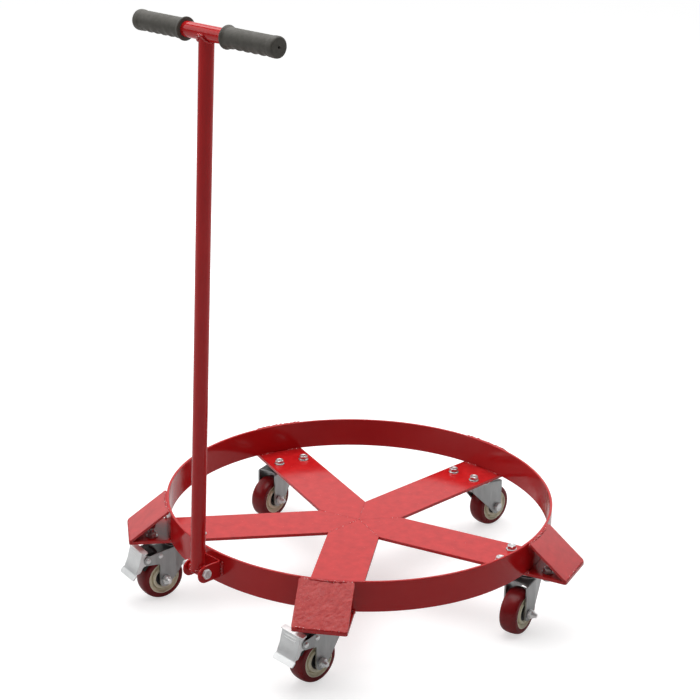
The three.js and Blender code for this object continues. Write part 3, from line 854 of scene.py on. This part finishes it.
def toothed_washer(radius, thick, teeth=20):
    """Thin ring whose rim is scalloped."""
    section = [(4.3, 0), (radius, 0), (radius, thick), (4.3, thick * 1.4)]
    bm = turned(section, steps=teeth * 4, closed=True)
    for v in bm.verts:
        if math.hypot(v.co.x, v.co.y) > radius - 0.1:
            v.co.xy *= 1 + 0.035 * math.cos(heading(v.co) * teeth)
    return bm


flange = [(0, 0), (8.2, 0), (WASHER_R, 0.5), (8.2, 1.3), (6.6, 2.0), (0, 2.0)]
for i in ARMS:
    parts = []
    for along in (-1, 1):
        for across in (-1, 1):
            spot = shift(KINGPIN_R + along * BOLT_ALONG, across * BOLT_ACROSS, 0)
            turn = Matrix.Rotation(i * 1.3 + along + across * 0.7, 4, "Z")
            if along < 0:
                stack = joined(turned(flange, 48), hexagon(BOLT_FLATS, 1.8, 7.2))
            else:
                nut = hexagon(BOLT_FLATS, 1.5, 7.8)
                stack = joined(toothed_washer(WASHER_R, 1.3), nut, thread(3.9, 7.5, 11.2))
            parts.append(moved(stack, spot @ turn))
            under = moved(hexagon(BOLT_FLATS, 0, 4.6), OVER)
            parts.append(moved(under, spot @ shift(0, 0, -8.3)))
    piece(
        f"mounting_bolts_{i}", joined(*parts), "dolly_frame", "bright_zinc", bolt_zinc,
        arm_place[i], sharp=25,
    )
print("mounting bolts", 4 * len(ARMS))

# %% [markdown]
# ## Caster tops
# Under each spoke lie a stamped plate and a pressed race, held by the kingpin's riveted head.
# The plate is raised from its outline, and the round parts are spun. Plate and race are one
# pressing, so they are joined in one piece.

# %% Swivel plates and races
PLATE_X, PLATE_Y, PLATE_THICK = 47.5, 33.5, 3
plate_outline = fillet(rectangle(PLATE_X, PLATE_Y), 6, steps=5)
cup = [(0, -8), (21.5, -8), (24.5, -8.1), (26.2, -8.8), (27, -10.2), (27, -12.6)]
cup += [(26.4, -13.2), (24.8, -13.2), (24.0, -12.2), (0, -12.2)]
pin_head = [(0, -24.9), (6.5, -24.9), (8.3, -23.6), (9, -22.2), (8.6, -21.9)]
pin_head += [(5, -21.9), (5, -13), (0, -13)]
at_kingpin = shift(KINGPIN_R, 0, 0)
for i in ARMS:
    flat = plate(plate_outline, PLATE_TOP - PLATE_THICK, PLATE_TOP, edge=0.7)
    pressing = moved(joined(flat, turned(cup, 96)), at_kingpin)
    piece(
        f"caster_plate_{i}", pressing, "dolly_frame", "zinc_plate", zinc, arm_place[i],
        [f"swivel_plate_{i}"], sharp=30,
    )
    piece(
        f"kingpin_{i}", moved(turned(pin_head, 48), at_kingpin), "dolly_frame", "zinc_plate",
        zinc, arm_place[i], sharp=30,
    )
print("caster plates", 2 * PLATE_X, "by", 2 * PLATE_Y, "by", PLATE_THICK, "mm")

# %% [markdown]
# ## Forks
# A fork is one sheet folded to a channel: two legs, a top and a short back wall. The legs toe
# in behind a soft crease. One leg is drawn, bent and mirrored, and the top and the back are
# bridged between the two, which is simpler than cutting a box to shape. The braked forks have
# a longer top and a lug for the pedal.

# %% Fork outline
FORK_BACK, FORK_CREASE, FORK_FLAT, FORK_DROP = -24, 12, 14, 3.5
TOE_IN = math.tan(math.radians(12))
FOOT_R, LUG_R = 9.5, 7.5
PEDAL_X, PEDAL_Z = 59.5, -32.6
SHOE_X, SHOE_Z = 38, -29.1


def fork_lip(braked):
    """Front end of the fork's top."""
    return AXLE_X + (15 if braked else FOOT_R)


def fork_outline(braked):
    """Side view of a leg, from the back of the top round the foot."""
    front = AXLE_X + FOOT_R
    outline = [(FORK_BACK, FORK_TOP), (FORK_FLAT, FORK_TOP)]
    outline += [(fork_lip(braked), FORK_TOP - FORK_DROP)]
    if braked:
        throat = PEDAL_Z - 9.5
        inner = [(front + 6, throat), (front, throat - 1), (front, throat - 8)]
        outline += arc(PEDAL_X, PEDAL_Z, LUG_R, 75, -90, 10) + [(front + 4.5, throat)]
        outline += fillet(inner, 5, closed=False)
    foot = arc(AXLE_X, AXLE_Z - 3, FOOT_R, 0, -135, 10)
    return outline + foot + [(FORK_BACK, FORK_TOP - 13)]


print("outline points", len(fork_outline(False)), "and with a brake", len(fork_outline(True)))


# %% Fork sheet
def everything(bm):
    return bm.verts[:] + bm.edges[:] + bm.faces[:]


def fork_sheet(braked):
    """Outer faces of the whole fork, its folds rounded."""
    lip = fork_lip(braked)
    bm = bmesh.new()
    bm.faces.new([bm.verts.new((x, LEG, z)) for x, z in fork_outline(braked)])
    bmesh.ops.bisect_plane(
        bm, geom=everything(bm), dist=1e-4, plane_co=(FORK_CREASE, 0, 0), plane_no=(1, 0, 0)
    )
    for v in bm.verts:
        v.co.y -= max(0, FORK_CREASE - v.co.x) * TOE_IN
    bmesh.ops.mirror(bm, geom=everything(bm), axis="Y", merge_dist=-1)

    def level_with(v):
        drop = max(0, v.co.x - FORK_FLAT) / (lip - FORK_FLAT) * FORK_DROP
        return abs(v.co.z - (FORK_TOP - drop)) < 1e-3 and v.co.x < lip + 1e-3

    ridge = [e for e in bm.edges if all(level_with(v) for v in e.verts)]
    bmesh.ops.bridge_loops(bm, edges=ridge)
    rear = [v for v in bm.verts if v.co.x < FORK_BACK + 1e-3]
    rear.sort(key=lambda v: (v.co.z, v.co.y))
    bm.faces.new((rear[0], rear[1], rear[3], rear[2]))

    # the top's front edge is cut back in a shallow curve
    def at_lip(v):
        return abs(v.co.x - lip) < 1e-3

    drop_z = FORK_TOP - FORK_DROP
    front_edge = [
        e for e in bm.edges if all(at_lip(v) and abs(v.co.z - drop_z) < 0.1 for v in e.verts)
    ]
    bmesh.ops.subdivide_edges(bm, edges=front_edge, cuts=7)
    for v in bm.verts:
        if at_lip(v) and abs(v.co.y) < LEG - 0.5:
            scoop = 5.5 * math.sqrt(1 - (v.co.y / LEG) ** 2)
            v.co.x -= scoop
            v.co.z += scoop * FORK_DROP / (lip - FORK_FLAT)
    face_out(bm, (0, 0, 1))
    fold(bm, 40, 2.6, 4)
    fold(bm, 9, 4, 4)
    return bm


print("a braked fork has", len(fork_sheet(True).faces), "outer faces")

# %% [markdown]
# On each fork sits the lower ball race, with a black shield that hides the balls. The braked
# forks also carry two rivets, whose domed heads are spun like the rest.


# %% Forks, races, shields and rivets
def rivet_pair(x, z, radius, height):
    """Domed heads on the outer faces of both legs."""
    angles = [math.radians(a) for a in range(0, 91, 15)]
    cap = [(0, -0.6), (radius, -0.6)]
    cap += [(radius * math.cos(a), height * math.sin(a)) for a in angles]
    heads = []
    for side in (-1, 1):
        stand = Matrix.Rotation(-side * math.pi / 2, 4, "X")
        heads.append(moved(turned(cap, 32), shift(x, side * LEG, z) @ stand))
    return joined(*heads)


track = [(5.3, -19.6), (22, -19.6), (22, -18.6), (20.6, -17.6)]
track += [(20.2, -15.2), (19.2, -14.2), (16, -13.6), (5.3, -13.6)]
shield = [(20.4, -17.4), (23.2, -17.0), (23.8, -15.6), (22.8, -13.6), (20.4, -13.6)]
for i in ARMS:
    body, place = f"swivel_{i}", caster_place[i]
    piece(
        f"fork_sheet_{i}", fork_sheet(i in BRAKED), body, "zinc_plate", zinc, place,
        [f"fork_{i}"], sheet=2.5, rim=0.45,
    )
    race = turned(track, 96, closed=True)
    piece(f"fork_race_{i}", race, body, "zinc_plate", bright_zinc, place, sharp=30)
    ring = turned(shield, 96, closed=True)
    piece(f"race_shield_{i}", ring, body, *BLACK, place)
    if i in BRAKED:
        heads = rivet_pair(SHOE_X, SHOE_Z, 4.2, 1.9)
        piece(f"shoe_rivet_{i}", heads, body, *BRIGHT, place)
        pin = turned([(0, -18), (2.5, -18), (2.5, 18), (0, 18)], 24)
        pin = moved(pin, shift(PEDAL_X, 0, PEDAL_Z) @ ALONG_Y)
        pins = joined(rivet_pair(PEDAL_X, PEDAL_Z, 4.3, 2.1), pin)
        piece(f"pedal_pin_{i}", pins, body, *BRIGHT, place, [f"pedal_rivet_{i}"])
print("rivets at", (PEDAL_X, PEDAL_Z), "and", (SHOE_X, SHOE_Z))

# %% [markdown]
# ## Wheels and axles
# A red tread is moulded round a cream hub, with a faint mould line. The hub has a lip, a
# groove and a raised ring, then a black seal. Each piece is a profile spun about the axle. The
# tread's section is flatter than an arc, as a soft tyre turns down only at its shoulders.

# %% Wheel profiles
TREAD_HALF, TREAD_IN, SHOULDER = 14, 25.9, 6.1
CROWN_STEPS = 12
crown = []
for k in range(2 * CROWN_STEPS + 1):
    y = TREAD_HALF * math.sin(math.pi / 2 * (k / CROWN_STEPS - 1))
    rise = (1 - min(1, abs(y) / TREAD_HALF) ** 2.5) ** 0.4
    crown.append((WHEEL_R - SHOULDER + (SHOULDER - 0.15) * rise, y))
crown[CROWN_STEPS] = (WHEEL_R, 0)  # the mould line
tread_profile = [(TREAD_IN, -TREAD_HALF)] + crown + [(TREAD_IN, TREAD_HALF)]
hub_side = [(26.1, 13.4), (25.7, 14.1), (24.7, 14.2), (24.1, 13.8), (23.4, 12.0), (21.6, 11.3)]
hub_side += [(20.3, 11.0), (20.0, 8.4), (18.9, 8.4), (18.6, 12.8), (17.9, 13.8), (16.8, 14.1)]
hub_side += [(14.8, 13.8), (13.6, 13.2), (13.3, 11.6)]
hub_profile = hub_side + [(r, -h) for r, h in reversed(hub_side)]
seal_side = [(7.2, 10.6), (13.2, 10.6), (13.2, 12.3), (11.8, 12.9), (8.2, 12.9), (7.2, 12.2)]
spacer = [(4.6, -16.7), (6.7, -16.7), (6.9, -16.2), (6.9, 16.2), (6.7, 16.7), (4.6, 16.7)]
collar = [(4.2, 5.6), (6.2, 5.6), (6.2, 6.6), (5.7, 7.4), (4.2, 7.5)]
print("tread", 2 * TREAD_HALF, "mm wide and", round(2 * WHEEL_R, 1), "mm across")

# %% Wheels, axle bolts and lock nuts
BOLT_HEAD = 5.3
at_axle = shift(AXLE_X, 0, AXLE_Z) @ ALONG_Y
for i in ARMS:
    body, place = f"wheel_{i}", caster_place[i]
    tread = moved(turned(tread_profile, 128, closed=True), at_axle)
    piece(
        f"tread_{i}", tread, body, "tread_polyurethane", tread_red, place,
        [f"wheel_tread_{i}"], sharp=50,
    )
    hub = moved(turned(hub_profile, 96, closed=True), at_axle)
    piece(f"hub_{i}", hub, body, "hub_plastic", hub_cream, place, [f"wheel_core_{i}"], sharp=60)
    near = turned(seal_side, 64, closed=True)
    far = turned([(r, -h) for r, h in seal_side], 64, closed=True)
    seals = moved(joined(near, far), at_axle)
    piece(f"bearing_seal_{i}", seals, body, *BLACK, place)
    tube = moved(turned(spacer, 48, closed=True), at_axle)
    piece(
        f"axle_spacer_{i}", tube, body, "bearing_steel", bearing_steel, place,
        [f"wheel_bearing_{i}"],
    )

    body, turn = f"swivel_{i}", Matrix.Rotation(0.4 + i, 4, "Z")
    head = moved(hexagon(M8_FLATS, 0, BOLT_HEAD), shift(0, 0, -LEG - 0.3) @ OVER @ turn)
    bolt = moved(joined(head, thread(4, LEG + 7, LEG + 13.2)), at_axle)
    piece(f"axle_screw_{i}", bolt, body, *BRIGHT, place, [f"axle_bolt_{i}"], sharp=25)
    nut = joined(moved(hexagon(M8_FLATS, 0.2, 6.2), turn), turned(collar, 48, closed=True))
    nut = moved(nut, at_axle @ shift(0, 0, LEG + 0.2))
    piece(f"lock_nut_{i}", nut, body, *BRIGHT, place, [f"axle_nut_{i}"], sharp=25)
print("axle bolts reach", LEG + 13.2, "mm from the middle")

# %% [markdown]
# ## Brakes
# The pedal is one folded sheet: a wide tab, a face with two pressed ribs, a lower flange, and
# two cheeks that reach back to the rivet. It is drawn from rows of vertices along its folds,
# so that every fold is one edge that a bevel can round.

# %% Pedal sheet
PEDAL_FRONT = AXLE_X + WHEEL_R
# (x, z) of the folds and of the two outer edges, from the tab down to the flange
TAB_IN = (PEDAL_FRONT - 4.2, FORK_TOP + 4.2)
BROW = (PEDAL_FRONT + 4.8, FORK_TOP + 1.6)
BELLY = (PEDAL_FRONT + 9.8, FORK_TOP - 17.5)
BEND = (PEDAL_FRONT + 15.8, FORK_TOP - 31.5)
LIP = (PEDAL_FRONT + 22.3, FORK_TOP - 39)
FACE_HALF, TAB_HALF, FLANGE_HALF, CHEEK = 19.5, 23, 21, 16.7


def pedal_sheet():
    """Outer faces of a pedal, its folds rounded."""
    bm = bmesh.new()
    rows = {}
    for label, (x, z) in (("brow", BROW), ("belly", BELLY), ("bend", BEND)):
        rows[label] = [bm.verts.new((x, side * FACE_HALF, z)) for side in (-1, 1)]
    for a, b in (("brow", "belly"), ("belly", "bend")):
        bm.faces.new((rows[a][0], rows[a][1], rows[b][1], rows[b][0]))
    wings = (("brow", BROW, TAB_IN, TAB_HALF, 2.5), ("bend", BEND, LIP, FLANGE_HALF, 4.5))
    for label, near, far, half, round_off in wings:
        inner = (near[0] * 0.85 + far[0] * 0.15, near[1] * 0.85 + far[1] * 0.15)
        corners = [(-half, *inner), (-half, *far), (half, *far), (half, *inner)]
        outline = fillet(corners, round_off, closed=False)
        edge = [bm.verts.new((x, y, z)) for y, x, z in outline]
        bm.faces.new([rows[label][1], rows[label][0]] + edge)
    scallop = [(PEDAL_X, PEDAL_Z + 7)] + arc(PEDAL_X, PEDAL_Z, 7, 110, 250, 8)
    scallop += [(PEDAL_X + 3.5, PEDAL_Z - 8.6), (PEDAL_X + 6.5, PEDAL_Z - 8.2)]
    scallop += [(PEDAL_FRONT + 2.4, FORK_TOP - 23.4), (PEDAL_FRONT + 5.0, FORK_TOP - 27)]
    scallop += [(PEDAL_FRONT + 8.6, FORK_TOP - 30.5)]
    for side in (0, 1):
        sign = 2 * side - 1
        loop = [rows["bend"][side], rows["belly"][side], rows["brow"][side]]
        for x, z in scallop:
            lean = min(1, max(0, (x - PEDAL_X - 4) / 12))
            loop.append(bm.verts.new((x, sign * (CHEEK + (FACE_HALF - CHEEK) * lean), z)))
        bm.faces.new(loop)
    face_out(bm, (1, 0, 0))
    fold(bm, 25, 2, 4)
    return bm


print("pedals", 2 * TAB_HALF, "mm wide at the tab")


# %% Pedals with their pressed ribs, and the shoes' plastic
def rib(depth, length=25, height=2.6):
    """Pressed rib on the pedal's face, `depth` mm below the brow."""
    run = Vector((BELLY[0] - BROW[0], 0, BELLY[1] - BROW[1])).normalized()
    out = Vector((-run.z, 0, run.x))
    across = out.cross(run)
    spot = Vector((BROW[0], 0, BROW[1])) + run * depth
    outline = fillet(rectangle(length / 2, height / 2), 0.8)
    turn = Matrix((across, run, across.cross(run))).transposed().to_4x4()
    return moved(plate(outline, -0.4, 1.4, edge=0.7), Matrix.Translation(spot) @ turn)


for i in BRAKED:
    body, place = f"pedal_{i}", caster_place[i]
    piece(
        f"pedal_sheet_{i}", pedal_sheet(), body, *BRIGHT, place,
        [f"brake_pedal_{i}"], sheet=2.0, rim=0.5,
    )
    ribs = joined(rib(5.5), rib(9.5))
    piece(f"pedal_ribs_{i}", ribs, body, *BRIGHT, place, sharp=50)
    shoe = frame["nodes"][f"brake_shoe_{i}"]
    shoe.data.materials.clear()
    shoe.data.materials.append(black_plastic)
    print(shoe.name, "keeps its shape and is now", black_plastic.name)

# %% [markdown]
# ## Handle
# A folded bracket on the ring holds a cross bolt, and the handle turns on it. The bracket is
# made as the forks are: one ear is drawn, mirrored and joined by a web.

# %% Bracket
EAR, EAR_R, EAR_Z = 18, 13, 26  # outer face, rounding and middle height of the ears
WEB_Y = -RING_R - 0.3
PIVOT_Y = pivot.y * 1000


def bracket_sheet():
    """Outer faces of the bracket, its folds rounded."""
    outline = [(WEB_Y, EAR_Z - EAR_R), (WEB_Y, EAR_Z + EAR_R)]
    outline += arc(PIVOT_Y, EAR_Z, EAR_R, 90, 270, 16)
    bm = bmesh.new()
    bm.faces.new([bm.verts.new((EAR, y, z)) for y, z in outline])
    bmesh.ops.mirror(bm, geom=everything(bm), axis="X", merge_dist=-1)
    web = [v for v in bm.verts if v.co.y > WEB_Y - 1e-3]
    web.sort(key=lambda v: (v.co.z, v.co.x))
    bm.faces.new((web[0], web[1], web[3], web[2]))
    face_out(bm, (0, 1, 0))
    fold(bm, 40, 3.6, 5)
    return bm


piece(
    "bracket_sheet", bracket_sheet(), "dolly_frame", *PAINTED, MM,
    ["handle_bracket"], sheet=3.0, rim=0.5,
)
side_beads = []
for side in (-1, 1):
    drop = [(side * (EAR + 1.4), -on_ring(19) - 0.9, z) for z in range(16, 38, 3)]
    side_beads.append(bead(drop, 2.5, 60 + side, rough=0.3))
weld("bracket_beads", joined(*side_beads), MM)
print("bracket ears", 2 * EAR, "mm apart, out to", round(EAR_R - PIVOT_Y, 1))

# %% Pivot bolt, nut and sleeve
bolt = joined(
    moved(hexagon(M8_FLATS, 0, BOLT_HEAD), shift(0, 0, EAR + 0.3)),
    turned([(0, -15), (4, -15), (4, 18.6), (0, 18.6)], 32),
    moved(thread(4, 0, 12.4), shift(0, 0, -EAR) @ OVER),
)
piece(
    "cross_bolt", moved(bolt, ALONG_X), "dolly_frame", *BRIGHT,
    pivot_place, ["pivot_bolt"], sharp=25,
)
nut = moved(hexagon(M8_FLATS, 0.3, 7.0), ALONG_X @ shift(0, 0, -EAR) @ OVER)
piece("cross_nut", nut, "dolly_frame", *BRIGHT, pivot_place, ["pivot_nut"], sharp=25)


def pipe(outer, inner, half, steps):
    """Length of tube along X with softly rounded ends."""
    section = [(inner, -half), (outer, -half), (outer, half), (inner, half)]
    return moved(turned(fillet(section, 0.6), steps, closed=True), ALONG_X)


piece(
    "sleeve_tube", pipe(SLEEVE_R, 4.6, 14.7, 64), "handle", *PAINTED,
    handle_place, ["pivot_sleeve"], sharp=60,
)
print("sleeve", 2 * SLEEVE_R, "mm across")

# %% [markdown]
# The pole is welded to the sleeve below and to the cross bar above. Its lower end fits the
# sleeve like a saddle: its vertices are lifted onto the sleeve's curve, which leaves cleaner
# faces than a Boolean.

# %% Pole and cross bar
SADDLE_R = SLEEVE_R - 0.2
pole_end = HANDLE_LENGTH - 2
pole = turned([(0, 0), (TUBE_R, 0), (TUBE_R, 30), (TUBE_R, pole_end), (0, pole_end)], 96)
for v in pole.verts:
    if v.co.z < 1:
        v.co.z = math.sqrt(max(0, SADDLE_R ** 2 - v.co.y ** 2))
piece("pole_tube", pole, "handle", *PAINTED, handle_place, ["handle_pole"], sharp=60)
bar_half = (bar_high.x - bar_low.x) * 500
bar = moved(pipe(TUBE_R, TUBE_R - 2.6, bar_half, 96), shift(0, 0, HANDLE_LENGTH))
piece("cross_bar", bar, "handle", *PAINTED, handle_place, ["t_bar"], sharp=60)


def round_pole(radius, height):
    """Path round the pole, its height given for each y."""
    circle = arc(0, 0, radius, 0, 360, 36)
    return [(x, y, height(y)) for x, y in circle]


def under_bar(y):
    return HANDLE_LENGTH - math.sqrt(max(4, TUBE_R ** 2 - y * y)) - 0.6


def over_sleeve(y):
    return math.sqrt(max(0, SLEEVE_R ** 2 - y * y)) + 0.4


high_bead = bead(round_pole(TUBE_R + 0.4, under_bar), 2.7, 71)
low_bead = bead(round_pole(TUBE_R - 0.6, over_sleeve), 1.9, 72)
weld("pole_beads", joined(high_bead, low_bead), handle_place, "handle")
print("cross bar", round(2 * bar_half, 1), "mm long")

# %% [markdown]
# The grips are rubber with a flange, a closed end and hollows for the fingers underneath.
# Each is spun with many rows along its length, and then a wave presses its lower side in,
# which is simpler than drawing the curved sections.

# %% Grips
HOLLOWS = 5


def grip_shape(low, high):
    """Grip along +Z from its flange to its closed end, with hollows for the fingers."""
    profile = [(10.9, low), (15.2, low), (16.0, low + 0.8), (16.1, low + 2)]
    profile += [(15.6, low + 3.4), (14.2, low + 5)]
    steps = 56
    for k in range(steps + 1):
        profile.append((13.7, low + 7 + (high - 19 - low) * k / steps))
    profile += [(13.9, high - 11), (14.2, high - 9.5), (14.35, high - 8), (14.35, high - 3)]
    profile += [(13.9, high - 1.2), (12.8, high - 0.2), (12.0, high), (2.6, high)]
    profile += [(1.8, high - 0.6), (1.6, high - 3.5), (0, high - 3.5)]
    bm = turned(profile, 72)
    start, end = low + 12, high - 12
    for v in bm.verts:
        radius = math.hypot(v.co.x, v.co.y)
        if radius > 13 and start < v.co.z < end:
            below = max(0, v.co.x / radius) ** 1.5
            along = (v.co.z - start) / (end - start)
            hollow = 0.5 - 0.5 * math.cos(math.tau * HOLLOWS * along)
            v.co.xy *= 1 + below * (0.04 - 0.11 * hollow)
    return bm


grip_from, grip_to = (corner.x * 1000 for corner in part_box("grip_right"))
for name, half_turns in (("right", 0), ("left", 1)):
    # the grip's +X turns down when its +Z lies along the bar
    lay = Matrix.Rotation(math.pi * half_turns, 4, "Z") @ ALONG_X
    shape = moved(grip_shape(grip_from, grip_to), shift(0, 0, HANDLE_LENGTH) @ lay)
    piece(
        f"rubber_{name}", shape, "handle", "grip_rubber", grip_rubber, handle_place,
        [f"grip_{name}"], sharp=60,
    )
print("grips", round(grip_to - grip_from, 1), "mm long")

# %% [markdown]
# ## Check and finish
# Every piece should be closed but for the grips, whose open end lies round the bar. The
# whole should fill the box of the CAD model.

print("pieces with open edges:", loose_edges)
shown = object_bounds()
for label, pair in (("cad", cad_box), ("visual", shown)):
    print(label, [[round(c, 4) for c in corner] for corner in pair])
